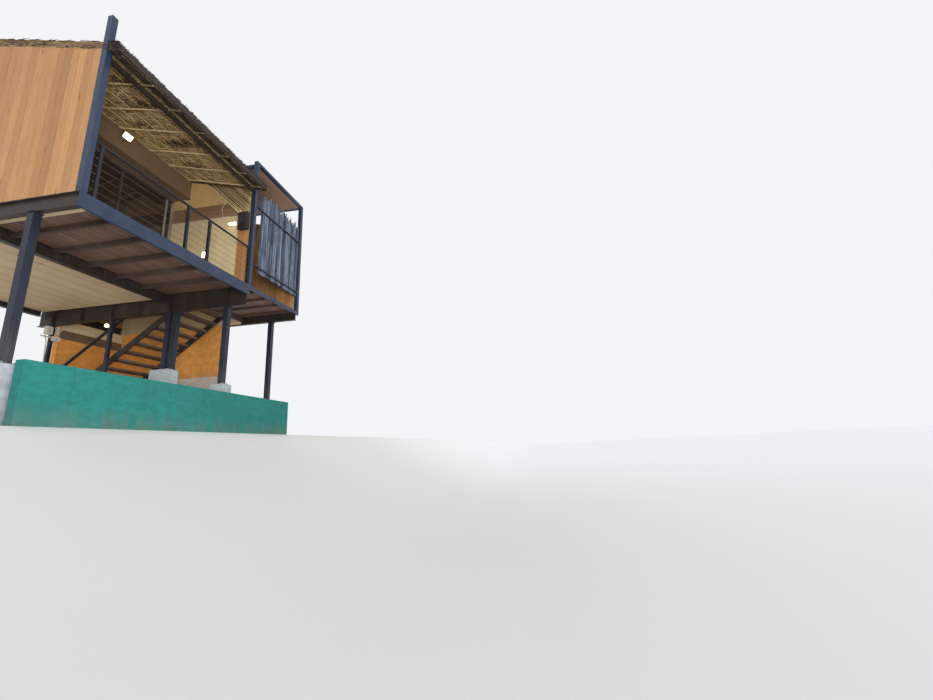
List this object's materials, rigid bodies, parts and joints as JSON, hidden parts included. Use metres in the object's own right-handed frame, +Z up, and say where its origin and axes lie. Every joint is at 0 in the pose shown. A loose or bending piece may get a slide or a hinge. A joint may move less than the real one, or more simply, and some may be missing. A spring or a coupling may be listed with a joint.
{
  "type": "stilt house",
  "caption": "Steel-framed stilt house of a terraced row: thatched room with balcony, split-slat stair hall under a flat roof, open stair below.",
  "frame": {"origin": "ground level, in the middle of the house's bounding box", "axes": "+X along the front of the row, +Y into the house from the river front, +Z up"},
  "size_m": [6.3, 6.52, 7.2386],
  "materials": {
    "green_wall": "green painted render, weathered",
    "concrete": "bare cast concrete",
    "pale_plaster": "pale lime render",
    "terracotta_plaster": "terracotta render",
    "dark_steel": "dark brown gloss paint",
    "fascia_steel": "dark slate satin paint",
    "joist_timber": "dark stained joist",
    "deck_plank": "red brown plank",
    "floor_board": "oiled floor board",
    "soffit_board": "cream painted board",
    "tread": "dark stained plank",
    "brown_board": "orange brown upright boards",
    "pale_plank": "cream painted planks",
    "woven_mat": "split bamboo mat",
    "dark_board": "dark stained boards",
    "door_frame": "pale coated frame",
    "pane": "clear float glass",
    "split_slat": "weathered grey split wood",
    "rail_wire": "stainless wire",
    "pole": "peeled bamboo pole",
    "thatch_straw": "weathered grass thatch",
    "roof_sheet": "ribbed grey roof sheet",
    "lamp_glass": "frosted warm lamp glass",
    "dark_box": "dark coated box"
  },
  "bodies": {
    "root": {"plinth_wall": "green_wall", "footings": "concrete", "front_stilts": "dark_steel", "inner_stilts": "dark_steel", "ground_wall_base": "pale_plaster", "ground_wall": "terracotta_plaster", "front_fascia": "fascia_steel", "edge_channel": "fascia_steel", "rim_beams": "dark_steel", "cross_girder": "dark_steel", "long_girders": "dark_steel", "deck_joists": "joist_timber", "stair_trimmer": "joist_timber", "deck_planks": "deck_plank", "room_floor": "floor_board", "floor_soffit": "soffit_board", "stair_stringers": "dark_steel", "stair_treads": "tread", "front_posts": "fascia_steel", "back_posts": "fascia_steel", "party_walls": "brown_board", "room_side_wall": "brown_board", "end_wall_boards": "brown_board", "landing_door": "pale_plank", "end_wall_planks": "pale_plank", "end_wall_mat": "woven_mat", "back_wall": "brown_board", "bulkhead": "dark_board", "door_frames": "door_frame", "door_glass": "pane", "screen_slats": "split_slat", "screen_rails": "dark_steel", "handrails": "fascia_steel", "rail_posts": "fascia_steel", "rail_wires": "rail_wire", "roof_beams": "dark_steel", "rafters": "pole", "battens": "pole", "thatch_front": "thatch_straw", "thatch_back": "thatch_straw", "ridge_saddle": "thatch_straw", "flat_roof_frame": "fascia_steel", "flat_roof_sheet": "roof_sheet", "lamps": "lamp_glass", "meter_box": "dark_box"}
  },
  "joints": []
}
